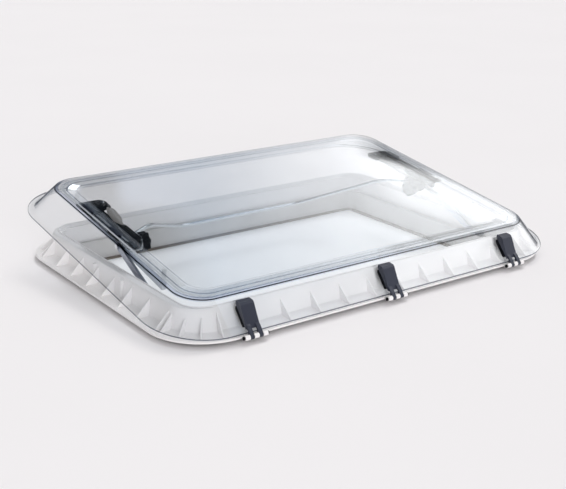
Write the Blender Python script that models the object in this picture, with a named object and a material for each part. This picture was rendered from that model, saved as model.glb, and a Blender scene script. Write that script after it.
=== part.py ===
"""Deck hatch: a double-skinned clear dome on three hinges over a ribbed white roof frame.

X runs along the hinge line, +Y points away from the hinges, +Z is up. The trim frame stands on Z = 0.
The working numbers are millimetres measured from the underside of the roof flange, at the flange centre.
The dome stands open by REST_OPEN, and its pieces are drawn as they lie when it is closed.
"""

import math

import bpy
import bmesh
from mathutils import Vector

# Driving dimensions, millimetres and degrees
FRAME_W = 1060.0
FRAME_D = 770.0
CORNER_R = 127.0
CORNER_TIGHTEN = 1.25
FLANGE_T = 4.5
WALL_TOP = 53.6
SPIGOT_BOTTOM = -28.0
TRIM_BOTTOM = -45.0
SEAL_T = 2.0
DOME_TOP = 64.7
DOME_T = 3.0
LIP_BOTTOM = 7.0
LIP_TOP = 9.6
PANE_TOP = 57.5
PANE_BOTTOM = 55.0
REST_OPEN = 8.79
HINGE_XS = (-366.9, 0.0, 366.9)
HINGE_OUT = 9.0
HINGE_Z = 3.6
KNUCKLE_R = 5.5
KNUCKLE_PITCH = 21.0
KNUCKLE_W = 11.0
FINGER_W = 9.2
ARM_W = 32.0
PIN_R = 2.5
STUD_R = 1.8
STUD_SPREAD = 8.0
GAP = 0.3
RIB_PITCH = 76.0
RIB_T = 3.0
STAY_L = 209.7
STAY_BASE_ANGLE = -0.74
RAIL_ANGLE = 3.79
ARM_X = 454.0
RAIL_X = 444.0
KNOB_R = 22.5
KNOB_LOBES = 7
KNOB_WAVE = 2.6
KNOB_STEPS = 42
STUD_BORE_R = 3.0
PIVOT_BORE_R = 4.3
STAY_ARM_R = 8.5
CAP_R = 6.0
CAP_STEPS = 16
BOW_R = 4.5
BOW_SIDES = 10

FLOOR = -TRIM_BOTTOM
SHIFT_Y = (HINGE_OUT + KNUCKLE_R) / 2
HW = FRAME_W / 2
HD = FRAME_D / 2
HINGE_Y = -HD - HINGE_OUT
CORNER_STEPS = 6

for old in list(bpy.data.objects):
    bpy.data.objects.remove(old, do_unlink=True)
scene = bpy.context.scene
scene.unit_settings.system = "METRIC"
scene.unit_settings.scale_length = 1.0


def world(x, y, z):
    """Metres, from millimetres in the flange frame."""
    return Vector((x, y + SHIFT_Y, z + FLOOR)) / 1000


def material(name, color, metallic=0.0, rough=0.5, transmission=0.0, ior=1.49):
    mat = bpy.data.materials.new(name)
    mat.use_nodes = True
    shader = mat.node_tree.nodes["Principled BSDF"]
    shader.inputs["Base Color"].default_value = (*color, 1)
    shader.inputs["Metallic"].default_value = metallic
    shader.inputs["Roughness"].default_value = rough
    shader.inputs["Transmission Weight"].default_value = transmission
    shader.inputs["IOR"].default_value = ior
    return mat


WHITE = material("white_plastic", (0.85, 0.85, 0.84), rough=0.4)
BEIGE = material("grey_beige_plastic", (0.45, 0.43, 0.41), rough=0.5)
CLEAR = material("clear_acrylic", (0.93, 0.96, 0.98), rough=0.03, transmission=1.0)
SLATE = material("slate_plastic", (0.035, 0.038, 0.05), rough=0.45)
BLACK = material("black_plastic", (0.012, 0.013, 0.015), rough=0.4)
RUBBER = material("black_rubber", (0.02, 0.02, 0.02), rough=0.8)
STEEL = material("satin_steel", (0.62, 0.64, 0.66), metallic=1.0, rough=0.25)
ALLOY = material("grey_aluminium", (0.45, 0.47, 0.49), metallic=1.0, rough=0.4)


def empty(name, at, degrees=0.0):
    pivot = bpy.data.objects.new(name, None)
    scene.collection.objects.link(pivot)
    pivot.location = at
    pivot.rotation_euler = (math.radians(degrees), 0, 0)
    return pivot


def in_dome(y, z):
    """Where a point of the closed dome's side view stands when the dome is open by REST_OPEN."""
    turn = math.radians(REST_OPEN)
    dy = y - HINGE_Y
    dz = z - HINGE_Z
    return (
        HINGE_Y + dy * math.cos(turn) - dz * math.sin(turn),
        HINGE_Z + dy * math.sin(turn) + dz * math.cos(turn),
    )


# The stay is an isosceles linkage: hinge axis, frame pivot and slider pivot
STAY_BASE_Y = HINGE_Y + STAY_L * math.cos(math.radians(STAY_BASE_ANGLE))
STAY_BASE_Z = HINGE_Z + STAY_L * math.sin(math.radians(STAY_BASE_ANGLE))
CLOSED_ALPHA = RAIL_ANGLE - STAY_BASE_ANGLE
SLIDE_REST = 2 * STAY_L * math.cos(math.radians(CLOSED_ALPHA + REST_OPEN))


def on_rail(distance, above=0.0):
    """(y, z) in the closed dome, at a distance from the hinge axis along the rail's line."""
    a = math.radians(RAIL_ANGLE)
    return (
        HINGE_Y + distance * math.cos(a) - above * math.sin(a),
        HINGE_Z + distance * math.sin(a) + above * math.cos(a),
    )


SLIDE_Y, SLIDE_Z = on_rail(SLIDE_REST)
SLIDE_WORLD = in_dome(SLIDE_Y, SLIDE_Z)

GROUPS = {
    "root": (empty("frame_origin", world(0, 0, 0)), (0.0, 0.0)),
    "dome": (empty("dome_axis", world(0, HINGE_Y, HINGE_Z), REST_OPEN), (HINGE_Y, HINGE_Z)),
    "stay": (empty("stay_axis", world(0, STAY_BASE_Y, STAY_BASE_Z)), (STAY_BASE_Y, STAY_BASE_Z)),
    "slider": (empty("slider_axis", world(0, *SLIDE_WORLD), REST_OPEN), (SLIDE_Y, SLIDE_Z)),
    "bow": (empty("bow_axis", world(0, *SLIDE_WORLD), REST_OPEN), (SLIDE_Y, SLIDE_Z)),
}


def add(name, group, points, faces, mat, smooth=False):
    """A mesh object from millimetre points, held by its group's pivot. Its quads can be shaded smooth."""
    pivot, (y0, z0) = GROUPS[group]
    mesh = bpy.data.meshes.new(name)
    mesh.from_pydata([(x / 1000, (y - y0) / 1000, (z - z0) / 1000) for x, y, z in points], [], faces)
    work = bmesh.new()
    work.from_mesh(mesh)
    bmesh.ops.recalc_face_normals(work, faces=work.faces)
    work.to_mesh(mesh)
    work.free()
    for face in mesh.polygons:
        face.use_smooth = smooth and len(face.vertices) == 4
    obj = bpy.data.objects.new(name, mesh)
    scene.collection.objects.link(obj)
    obj.parent = pivot
    if mat:
        obj.data.materials.append(mat)
    return obj


def hide(obj):
    obj.hide_render = True
    obj.display_type = "WIRE"
    return obj


def combine(obj, other, how):
    modifier = obj.modifiers.new(how.lower(), "BOOLEAN")
    modifier.operation = how
    modifier.solver = "EXACT"
    modifier.object = hide(other)
    return obj


def outline(side, front, back, radius, z, steps=CORNER_STEPS):
    """A rounded rectangle at height z, inset from the flange edge on each side."""
    points = []
    x1 = HW - side
    y0 = -HD + front
    y1 = HD - back
    radius = max(radius, 1.0)
    for cx, cy, start in (
        (x1 - radius, y1 - radius, 0),
        (-x1 + radius, y1 - radius, 90),
        (-x1 + radius, y0 + radius, 180),
        (x1 - radius, y0 + radius, 270),
    ):
        for i in range(steps + 1):
            a = math.radians(start + 90 * i / steps)
            points.append((cx + radius * math.cos(a), cy + radius * math.sin(a), z))
    return points


def frame_radius(inset):
    return max(CORNER_R - CORNER_TIGHTEN * inset, 12.0)


def even(inset, z):
    return outline(inset, inset, inset, frame_radius(inset), z)


def uneven(side, ends, z):
    return outline(side, ends, ends, frame_radius((side + ends) / 2), z)


def loft(name, group, loops, mat, ring):
    """Faces between each loop and the next. A ring closes on itself, anything else gets two caps."""
    count = len(loops[0])
    points = [p for loop in loops for p in loop]
    faces = []
    pairs = len(loops) if ring else len(loops) - 1
    for k in range(pairs):
        a = k * count
        b = ((k + 1) % len(loops)) * count
        for i in range(count):
            j = (i + 1) % count
            faces.append((a + i, a + j, b + j, b + i))
    if not ring:
        faces.append(tuple(range(count)))
        faces.append(tuple(range((len(loops) - 1) * count, len(loops) * count)))
    return add(name, group, points, faces, mat)


def push_faces(n):
    """Faces of an outline of n points pushed to a second set of n points, with both ends closed."""
    faces = [(i, (i + 1) % n, n + (i + 1) % n, n + i) for i in range(n)]
    return faces + [tuple(range(n)), tuple(range(n, 2 * n))]


def prism_data(outline_yz, x0, x1):
    points = [(x, y, z) for x in (x0, x1) for y, z in outline_yz]
    return points, push_faces(len(outline_yz))


def prism(name, group, outline_yz, x0, x1, mat):
    """A side-view outline pushed along X."""
    return add(name, group, *prism_data(outline_yz, x0, x1), mat)


def slab(name, group, outline_xy, z0, z1, mat):
    """A plan-view outline pushed along Z."""
    points = [(x, y, z) for z in (z0, z1) for x, y in outline_xy]
    return add(name, group, points, push_faces(len(outline_xy)), mat)


def block(name, group, x0, x1, y0, y1, z0, z1, mat=None):
    return slab(name, group, [(x0, y0), (x1, y0), (x1, y1), (x0, y1)], z0, z1, mat)


def circle(cy, cz, r, steps=20, start=0.0):
    return [
        (
            cy + r * math.cos(math.radians(start + 360 * i / steps)),
            cz + r * math.sin(math.radians(start + 360 * i / steps)),
        )
        for i in range(steps)
    ]


def lathe(name, group, base, axis, profile, mat, steps=16):
    """A turned piece: (distance along the axis, radius) pairs, closed by flat ends."""
    axis = Vector(axis).normalized()
    side = axis.orthogonal().normalized()
    other = axis.cross(side)
    base = Vector(base)
    points = []
    faces = []
    for along, radius in profile:
        for i in range(steps):
            a = 2 * math.pi * i / steps
            points.append(base + axis * along + radius * (side * math.cos(a) + other * math.sin(a)))
    for k in range(len(profile) - 1):
        for i in range(steps):
            j = (i + 1) % steps
            faces.append((k * steps + i, k * steps + j, (k + 1) * steps + j, (k + 1) * steps + i))
    faces.append(tuple(range(steps)))
    faces.append(tuple(range((len(profile) - 1) * steps, len(profile) * steps)))
    return add(name, group, points, faces, mat, smooth=True)


def turned(name, group, x0, side, y, z, profile, mat, steps=20):
    """A turned piece along X, measured inboard from x0 on one side of the hatch."""
    return lathe(name, group, (side * x0, y, z), (-side, 0, 0), profile, mat, steps)


def gathered(name, group, pieces):
    """Several closed helper bodies as one mesh, for one Boolean."""
    points = []
    faces = []
    for piece_points, piece_faces in pieces:
        start = len(points)
        points += piece_points
        faces += [tuple(start + i for i in face) for face in piece_faces]
    return add(name, group, points, faces, None)


def rib_data(foot, direction, along, reach, outline_sz):
    """A thin rib: its outline runs inwards from a point of the flange edge."""
    points = []
    for offset in (-RIB_T / 2, RIB_T / 2):
        for s, z in outline_sz:
            x = foot[0] + direction[0] * s * reach + along[0] * offset
            y = foot[1] + direction[1] * s * reach + along[1] * offset
            points.append((x, y, z))
    return points, push_faces(len(outline_sz))


def mitred(names, ring, mat, inner=HW - HD):
    """Cuts a ring into front, back, left and right lengths, with a small gap at each mitre.

    The mitres run at 45 degrees, and would cross the X axis at inner.
    """
    reach = HD * 1.2
    slip = GAP / math.sqrt(2)
    for name, side in zip(names, ("front", "back", "left", "right")):
        sign = -1 if side in ("front", "left") else 1
        if side in ("front", "back"):
            a = inner - slip
            far = a + reach
            plan = [(-a, 0), (a, 0), (far, sign * reach), (-far, sign * reach)]
        else:
            a = inner + slip
            far = sign * (a + reach)
            plan = [(sign * a, 0), (far, reach), (far, -reach)]
        combine(slab(name, "root", plan, -60, 70, mat), ring, "INTERSECT")


# Roof frame: flange, upstand wall and the spigot that drops into the roof cut-out
frame = loft(
    "frame_ring",
    "root",
    [
        even(0, 0),
        even(0, 3.2),
        even(1.4, FLANGE_T),
        uneven(35, 38, FLANGE_T + 0.8),
        uneven(39, 43, 8),
        uneven(43.5, 51, 44),
        uneven(46, 56.5, 51.5),
        uneven(49, 58.5, WALL_TOP),
        uneven(62.4, 62.4, WALL_TOP),
        uneven(63, 63, 46),
        uneven(68, 68, 46),
        uneven(68.5, 68.5, SPIGOT_BOTTOM),
        uneven(64.5, 64.5, SPIGOT_BOTTOM),
        uneven(62, 62, 0),
    ],
    None,
    ring=True,
)

rib_side = [(7, 3), (7, 4.6), (45, 45), (48, 45), (48, 3)]
rib_end = [(8, 3), (8, 4.6), (52, 41), (56, 41), (56, 3)]
ribs = []
for k in range(8):
    y = (k - 3.5) * RIB_PITCH
    for side in (-1, 1):
        ribs.append(rib_data((side * HW, y), (-side, 0), (0, 1), 1.0, rib_side))
for k in range(10):
    x = (k - 4.5) * RIB_PITCH
    for side in (-1, 1):
        ribs.append(rib_data((x, side * HD), (0, -side), (1, 0), 1.0, rib_end))
for sx in (-1, 1):
    for sy in (-1, 1):
        for degrees in (12, 34, 56, 78):
            a = math.radians(degrees)
            out = (sx * math.cos(a), sy * math.sin(a))
            centre = (sx * (HW - CORNER_R), sy * (HD - CORNER_R))
            foot = (centre[0] + CORNER_R * out[0], centre[1] + CORNER_R * out[1])
            reach = 1.0 + 0.16 * math.sin(2 * a)
            ribs.append(rib_data(foot, (-out[0], -out[1]), (-out[1], out[0]), reach, rib_side))
combine(frame, gathered("rib_helpers", "root", ribs), "UNION")

bosses = []
for side in (-1, 1):
    for y in (-72.0, 54.0):
        outline_yz = [(y - 5, 5.5), (y + 5, 5.5), (y + 5, 46), (y - 5, 46)]
        x0 = side * (HW - 46)
        x1 = side * (HW - 36)
        bosses.append(prism_data(outline_yz, min(x0, x1), max(x0, x1)))
combine(frame, gathered("boss_helpers", "root", bosses), "UNION")

mitred(("frame_front", "frame_back", "frame_left", "frame_right"), frame, WHITE)

# Hinge bases: a bar and foot along the flange edge that carries three knuckles
base_outline = [
    (HINGE_Y + 6.0, -1.4),
    (HINGE_Y + 6.0, 4.1),
    (HINGE_Y + 7.4, 6.2),
    (-HD + 6.8, 6.2),
    (-HD + 6.8, 5.0),
    (-HD - GAP, 5.0),
    (-HD - GAP, -1.4),
]
for index, hx in enumerate(HINGE_XS):
    half = KNUCKLE_PITCH + KNUCKLE_W / 2
    base = prism(f"hinge_base_{index + 1}", "root", base_outline, hx - half, hx + half, WHITE)
    knuckles = []
    for k in (-1, 0, 1):
        centre = hx + k * KNUCKLE_PITCH
        x0 = centre - KNUCKLE_W / 2 - 0.01 * (k < 0)
        x1 = centre + KNUCKLE_W / 2 + 0.01 * (k > 0)
        outline_yz = [(HINGE_Y + 6.4, -1.2), (HINGE_Y + 6.4, 4.6), (HINGE_Y + 3.5, 7.84)]
        for i in range(5, 19):
            t = math.radians(15 * i)
            outline_yz.append((HINGE_Y + KNUCKLE_R * math.cos(t), HINGE_Z + KNUCKLE_R * math.sin(t)))
        knuckles.append(prism_data(outline_yz, x0, x1))
    combine(base, gathered(f"knuckle_helpers_{index + 1}", "root", knuckles), "UNION")
    bore = circle(HINGE_Y, HINGE_Z, PIN_R + GAP, 16)
    combine(base, prism(f"base_bore_{index + 1}", "root", bore, hx - 60, hx + 60, None), "DIFFERENCE")

# Seals
loft(
    "roof_seal",
    "root",
    [even(12, -SEAL_T), even(12, -GAP), even(50, -GAP), even(50, -SEAL_T)],
    RUBBER,
    ring=True,
)
loft(
    "dome_seal",
    "root",
    [
        uneven(59.5, 59.6, WALL_TOP + GAP),
        uneven(59.5, 59.6, WALL_TOP + 1.6),
        uneven(60.5, 60.6, WALL_TOP + 2.6),
        uneven(62, 62, WALL_TOP + 1.6),
        uneven(62, 62, WALL_TOP + GAP),
    ],
    RUBBER,
    ring=True,
)

# Inner trim frame, fitted from below the ceiling
trim = loft(
    "trim_ring",
    "root",
    [
        uneven(69.2, 69.2, 2),
        uneven(69.2, 69.2, 5),
        uneven(84, 79, 5),
        uneven(91, 84, -41.5),
        uneven(103, 94, -42),
        uneven(103, 94, TRIM_BOTTOM),
        even(22, TRIM_BOTTOM),
        even(20, TRIM_BOTTOM + 1.5),
        even(20, TRIM_BOTTOM + 3.5),
        uneven(86.5, 80.5, TRIM_BOTTOM + 3.5),
        uneven(81, 76, 2),
    ],
    None,
    ring=True,
)
for side in (-1, 1):
    name = "left" if side < 0 else "right"
    x0, x1 = sorted((side * 446.6, side * 470.0))
    combine(
        trim,
        block(name + "_notch_helper", "root", x0, x1, STAY_BASE_Y - 24, STAY_BASE_Y + 100, -12, 9),
        "DIFFERENCE",
    )

mitred(("trim_front", "trim_back", "trim_left", "trim_right"), trim, BEIGE, (HW - 103) - (HD - 94))

# Four clamps pull the trim frame up against the roof
for index, (x, sy) in enumerate(((-250, -1), (250, -1), (-250, 1), (250, 1))):
    y = sy * (HD - 66.2)
    outline_yz = [
        (y + sy * 1.3, -41.0),
        (y + sy * 1.3, -31.5),
        (y + sy * 30, -31.5),
        (y + sy * 30, -34.5),
        (y + sy * 4.3, -34.5),
        (y + sy * 4.3, -38.0),
        (y + sy * 14, -38.0),
        (y + sy * 14, -41.0),
    ]
    clamp = prism(f"clamp_{index + 1}", "root", outline_yz, x - 15, x + 15, ALLOY)
    spot = (x, y + sy * 22, -41.2)
    hole = lathe(f"clamp_hole_{index + 1}", "root", spot, (0, 0, 1), [(0, 2.5), (20, 2.5)], None, 12)
    combine(clamp, hole, "DIFFERENCE")
    lathe(
        f"clamp_screw_{index + 1}",
        "root",
        (x, y + sy * 22, -37.6),
        (0, 0, 1),
        [(0, 3.0), (0.8, 4.2), (2.8, 4.2), (2.8, 2.2), (30, 2.2), (33, 0.8)],
        STEEL,
        12,
    )


# Dome
def dome_loop(t, drop, z=None, radius=None):
    """A loop on the dome's sloped wall: t is 0 at the foot, 1 at the crease; drop is an inward offset."""
    side = -4.0 + t * 52.3
    front = 1.0 + t * 63.1
    back = 6.0 + t * 54.8
    height = 9.0 + t * (DOME_TOP - 9.0)
    base = 124.0 - t * 62.0
    return outline(
        side + drop, front + drop, back + drop, (radius or base) - drop * 0.4, height if z is None else z
    )


dome_outer = loft(
    "dome_outer",
    "dome",
    [
        dome_loop(1.0, 5.0, DOME_TOP - DOME_T),
        dome_loop(0.93, 1.6, 60.8 - 2.6),
        dome_loop(0.07, 1.6, 12.9 - 2.6),
        dome_loop(0.02, 1.6, LIP_BOTTOM),
        outline(-15, -0.7, -5, 131, LIP_BOTTOM),
        outline(-15, -0.7, -5, 131, LIP_TOP),
        dome_loop(0.0, -0.6, LIP_TOP),
        dome_loop(0.05, 0.0),
        dome_loop(0.96, 0.0),
        dome_loop(1.0, 1.4, DOME_TOP - 0.5),
        dome_loop(1.0, 4.5, DOME_TOP),
    ],
    CLEAR,
    ring=False,
)
dome_inner = loft(
    "dome_inner",
    "dome",
    [
        dome_loop(1.0, 43.5, PANE_BOTTOM),
        dome_loop(1.0, 39.0, 58.7),
        dome_loop(1.0, 9.0, 58.7),
        dome_loop(1.0, 9.0, 61.2),
        dome_loop(1.0, 41.0, 61.2),
        dome_loop(1.0, 45.5, PANE_TOP),
    ],
    CLEAR,
    ring=False,
)

# Hinges: an arm on the dome's front slope, two fingers between three knuckles
SLOPE = Vector((0, 63.1, DOME_TOP - 9.0)).normalized()
NORMAL = Vector((0, -SLOPE.z, SLOPE.y))


def on_slope(along, out):
    """(y, z) on the dome's front slope, measured up from its foot and outwards."""
    spot = Vector((0, -HD + 1.0, 9.0)) + SLOPE * along + NORMAL * out
    return (spot.y, spot.z)


for index, hx in enumerate(HINGE_XS):
    number = index + 1
    outline_yz = [
        on_slope(6.0, 0.4),
        on_slope(62.0, 0.4),
        (-337.5, 57.0),
        (-351.0, 57.6),
        (-355.4, 54.5),
        (-381.8, 17.3),
        (-382.5, 14.5),
    ]
    arm = prism(f"hinge_arm_{number}", "dome", outline_yz, hx - ARM_W / 2, hx + ARM_W / 2, SLATE)
    finger = [
        on_slope(16.0, 2.2),
        (HINGE_Y + 7.7, 12.5),
        (HINGE_Y + 5.45, HINGE_Z + 1.8),
        *[
            (
                HINGE_Y + KNUCKLE_R * math.cos(math.radians(-15 * i)),
                HINGE_Z + KNUCKLE_R * math.sin(math.radians(-15 * i)),
            )
            for i in range(0, 14)
        ],
        (-391.0, 14.0),
        (-383.5, 20.5),
        (-374.0, 24.5),
    ]
    fingers = []
    for k in (-1, 1):
        centre = hx + k * KNUCKLE_PITCH / 2
        fingers.append(prism_data(finger, centre - FINGER_W / 2, centre + FINGER_W / 2))
    combine(arm, gathered(f"finger_helper_{number}", "dome", fingers), "UNION")
    bore = prism(
        f"arm_bore_{number}", "dome", circle(HINGE_Y, HINGE_Z, PIN_R + GAP, 16), hx - 50, hx + 50, None
    )
    combine(arm, bore, "DIFFERENCE")
    turned(
        f"hinge_pin_{number}",
        "root",
        -(hx - 30.2),
        -1,
        HINGE_Y,
        HINGE_Z,
        [(0, 3.2), (0.6, 4.0), (2.8, 4.0), (2.8, PIN_R), (58.2, PIN_R), (58.2, 3.4), (60.4, 3.4)],
        BLACK,
        16,
    )
    plate_points = [
        on_slope(13.0, -7.5),
        on_slope(15.0, -9.5),
        on_slope(54.0, -9.5),
        on_slope(58.0, -6.0),
        on_slope(58.0, -3.6),
        on_slope(13.0, -3.6),
    ]
    plate = prism(f"hinge_plate_{number}", "dome", plate_points, hx - 15, hx + 15, BLACK)
    for dx in (-STUD_SPREAD, STUD_SPREAD):
        seat = Vector((hx + dx, *on_slope(38.0, 0.0)))
        spot = f"{number}_{'left' if dx < 0 else 'right'}"
        shaft = [(0, STUD_R), (12.0, STUD_R)]
        stud = lathe(f"stud_helper_{spot}", "dome", seat - NORMAL * 5.0, NORMAL, shaft, None, 12)
        combine(plate, stud, "UNION")
        shaft = [(0, STUD_R + 0.4), (20.0, STUD_R + 0.4)]
        hole = lathe(f"hole_helper_{spot}", "dome", seat - NORMAL * 12.0, NORMAL, shaft, None, 12)
        combine(dome_outer, hole, "DIFFERENCE")
        combine(arm, hole, "DIFFERENCE")

# Stay mechanism, once on each side
RAIL_END = 588.0
for side in (-1, 1):
    name = "left" if side < 0 else "right"

    def x_of(distance, side=side):
        return side * distance

    def span(a, b, side=side):
        return sorted((side * a, side * b))

    # Guide plate under the inner pane: two pads joined by a waist, with a web down to the rail
    plan = [(466, 200), (466, -24), (428, -24), (413, -14), (413, 56), (424, 76), (424, 148), (398, 160)]
    plan += [(396, 190), (406, 204), (460, 204)]
    plan = [(x_of(x), y) for x, y in plan]
    plate = slab(f"{name}_guide_plate", "dome", plan, 51.0, PANE_BOTTOM - GAP, BLACK)
    back_y, back_z = on_rail(560, 8.4)
    front_y, front_z = on_rail(372, 8.4)
    web = [(back_y, 52.5), (back_y, back_z), (front_y, front_z), (front_y, 52.5)]
    a, b = span(RAIL_X - 4.8, RAIL_X + 4.8)
    combine(plate, prism(f"{name}_web_helper", "dome", web, a, b, None), "UNION")

    # Slotted rail: the slider's tongue runs in the slot
    rail_outline = [on_rail(226, -8), on_rail(RAIL_END, -8), on_rail(RAIL_END, 8), on_rail(226, 8)]
    a, b = span(RAIL_X - 5, RAIL_X + 5)
    rail = prism(f"{name}_guide_rail", "dome", rail_outline, a, b, ALLOY)
    slot = [on_rail(234, -4.2), on_rail(576, -4.2), on_rail(576, 4.2), on_rail(234, 4.2)]
    a, b = span(RAIL_X - 12, RAIL_X + 12)
    combine(rail, prism(f"{name}_slot_helper", "dome", slot, a, b, None), "DIFFERENCE")

    # Post that holds the rail's hinge end under the pane
    post_y, post_z = on_rail(231, 8.4)
    a, b = span(RAIL_X - 3, RAIL_X + 3)
    block(f"{name}_rail_post", "dome", a, b, post_y - 4, post_y + 3, post_z, PANE_BOTTOM - GAP, CLEAR)

    # Oval caps that stand through the inner pane's rim, each with a stud into the guide plate
    for where, y0, y1, x in (("back", 134, 182, 456), ("front", 4, 52, 456)):
        shapes = []
        for r in (CAP_R, CAP_R + 0.6):
            oval = []
            for i in range(CAP_STEPS):
                t = math.radians(360 * i / CAP_STEPS)
                push = math.copysign((y1 - y0) / 2 - CAP_R, math.sin(t + 0.001))
                oval.append((x_of(x) + r * math.cos(t), (y0 + y1) / 2 + push + r * math.sin(t)))
            shapes.append(oval)
        cap = slab(f"{name}_cap_{where}", "dome", shapes[0], PANE_BOTTOM, 61.2, SLATE)
        hole = slab(f"{name}_cap_slot_{where}", "dome", shapes[1], PANE_BOTTOM + 0.2, 61.6, None)
        combine(dome_inner, hole, "DIFFERENCE")
        spot = (x_of(x), (y0 + y1) / 2, 52.0)
        stud = lathe(f"{name}_cap_stud_{where}", "dome", spot, (0, 0, 1), [(0, 2.0), (6.0, 2.0)], None, 12)
        combine(cap, stud, "UNION")
        spot = (x_of(x), (y0 + y1) / 2, 51.6)
        hole = lathe(f"{name}_cap_hole_{where}", "dome", spot, (0, 0, 1), [(0, 2.4), (8.0, 2.4)], None, 12)
        combine(plate, hole, "DIFFERENCE")
    spot = (x_of(410), 180, PANE_TOP + GAP)
    profile = [(0, 4.2), (1.8, 4.2), (2.8, 2.6)]
    lathe(f"{name}_pad_screw", "dome", spot, (0, 0, 1), profile, STEEL, 12)

    # Slider: the block beside the rail with the tongue in its slot
    body = [
        on_rail(SLIDE_REST - 11, -9),
        on_rail(SLIDE_REST - 5, -15),
        on_rail(SLIDE_REST + 32, -14),
        on_rail(SLIDE_REST + 42, -6),
        on_rail(SLIDE_REST + 42, 8),
        on_rail(SLIDE_REST + 34, 15),
        on_rail(SLIDE_REST - 2, 15),
        on_rail(SLIDE_REST - 11, 8),
    ]
    a, b = span(437.5, 407.5)
    slider = prism(f"{name}_slider", "slider", body, a, b, BLACK)
    tongue_outline = [
        on_rail(SLIDE_REST - 8, -3.8),
        on_rail(SLIDE_REST + 12, -3.8),
        on_rail(SLIDE_REST + 12, 3.8),
        on_rail(SLIDE_REST - 8, 3.8),
    ]
    a, b = span(450, 436)
    tongue_obj = prism(f"{name}_tongue_helper", "slider", tongue_outline, a, b, None)
    combine(slider, tongue_obj, "UNION")
    a, b = span(470, 390)
    bore = prism(f"{name}_slider_bore", "slider", circle(SLIDE_Y, SLIDE_Z, STUD_BORE_R, 12), a, b, None)
    combine(slider, bore, "DIFFERENCE")

    # Clamp stud through arm, slider, bow plate and knob
    profile = [(0, 6.5), (3.2, 6.5), (3.2, 2.7), (73.0, 2.7)]
    turned(f"{name}_clamp_stud", "slider", 460.8, side, SLIDE_Y, SLIDE_Z, profile, STEEL, 16)

    # Star knob
    lobes = []
    for i in range(KNOB_STEPS):
        t = 360 * i / KNOB_STEPS
        r = KNOB_R - KNOB_WAVE + KNOB_WAVE * math.cos(math.radians(KNOB_LOBES * t))
        lobes.append((SLIDE_Y + r * math.cos(math.radians(t)), SLIDE_Z + r * math.sin(math.radians(t))))
    a, b = span(402.5, 385.0)
    knob = prism(f"{name}_knob", "slider", lobes, a, b, BLACK)
    a, b = span(420, 387.4)
    bore = prism(f"{name}_knob_bore", "slider", circle(SLIDE_Y, SLIDE_Z, STUD_BORE_R, 12), a, b, None)
    combine(knob, bore, "DIFFERENCE")

    # Stay arm from the frame pivot to the slider
    fy, fz = STAY_BASE_Y, STAY_BASE_Z
    ty, tz = SLIDE_WORLD
    lean = math.atan2(tz - fz, ty - fy)
    arm_outline = []
    for i in range(9):
        t = lean + math.radians(90 + 22.5 * i)
        arm_outline.append((fy + STAY_ARM_R * math.cos(t), fz + STAY_ARM_R * math.sin(t)))
    for i in range(9):
        t = lean + math.radians(-90 + 22.5 * i)
        arm_outline.append((ty + STAY_ARM_R * math.cos(t), tz + STAY_ARM_R * math.sin(t)))
    a, b = span(ARM_X - 3, ARM_X + 3)
    arm = prism(f"{name}_stay_arm", "stay", arm_outline, a, b, ALLOY)
    a, b = span(ARM_X - 12, ARM_X + 12)
    bore = prism(f"{name}_arm_foot_bore", "stay", circle(fy, fz, PIVOT_BORE_R, 16), a, b, None)
    combine(arm, bore, "DIFFERENCE")
    bore = prism(f"{name}_arm_top_bore", "stay", circle(ty, tz, STUD_BORE_R, 16), a, b, None)
    combine(arm, bore, "DIFFERENCE")

    # Frame pivot: bracket on the inside of the wall and a shoulder pin
    shape = [(fy - 20, fz - 14), (fy + 20, fz - 14), (fy + 20, fz + 6), (fy + 10, fz + 16)]
    shape += [(fy - 10, fz + 16), (fy - 20, fz + 6)]
    a, b = span(461.2, 459.0)
    bracket = prism(f"{name}_pivot_bracket", "root", shape, a, b, STEEL)
    a, b = span(459.6, 457.4)
    boss = prism(f"{name}_boss_helper", "root", circle(fy, fz, STAY_ARM_R, 20), a, b, None)
    combine(bracket, boss, "UNION")
    a, b = span(480, 440)
    bore = prism(f"{name}_bracket_bore", "root", circle(fy, fz, PIVOT_BORE_R, 16), a, b, None)
    combine(bracket, bore, "DIFFERENCE")
    profile = [(0, 4.0), (10.0, 4.0), (10.0, 7.0), (12.4, 7.0), (13.0, 6.4)]
    turned(f"{name}_pivot_pin", "root", 460.8, side, fy, fz, profile, STEEL, 16)

    # Bow end plate, clamped between slider and knob
    strip = []
    for i in range(9):
        t = math.radians(RAIL_ANGLE + 90 + 22.5 * i)
        strip.append((SLIDE_Y + 18 * math.cos(t), SLIDE_Z + 18 * math.sin(t)))
    strip += [on_rail(SLIDE_REST + 36, -6), on_rail(SLIDE_REST + 36, 12)]
    a, b = span(406.6, 403.4)
    bow_plate = prism(f"{name}_bow_plate", "bow", strip, a, b, STEEL)
    a, b = span(420, 390)
    bore = prism(f"{name}_bow_bore", "bow", circle(SLIDE_Y, SLIDE_Z, STUD_BORE_R, 12), a, b, None)
    combine(bow_plate, bore, "DIFFERENCE")

# Bow handle: one tube from side to side, bent clear of the knobs
leg_y, leg_z = on_rail(SLIDE_REST + 31, 3.0)
corners = [
    Vector((403.0 - GAP, leg_y, leg_z)),
    Vector((392.0, leg_y + 2, leg_z + 1)),
    Vector((345.0, 75.0, 35.0)),
    Vector((180.0, 200.0, -53.5)),
]
corners = [Vector((-p.x, p.y, p.z)) for p in corners] + corners[::-1]
path = [corners[0]]
for i in range(1, len(corners) - 1):
    before = corners[i - 1] - corners[i]
    after = corners[i + 1] - corners[i]
    reach = min(22.0, before.length * 0.45, after.length * 0.45)
    start = corners[i] + before.normalized() * reach
    end = corners[i] + after.normalized() * reach
    for k in range(5):
        t = k / 4
        path.append(start * (1 - t) ** 2 + corners[i] * (2 * t * (1 - t)) + end * t**2)
path.append(corners[-1])

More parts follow.
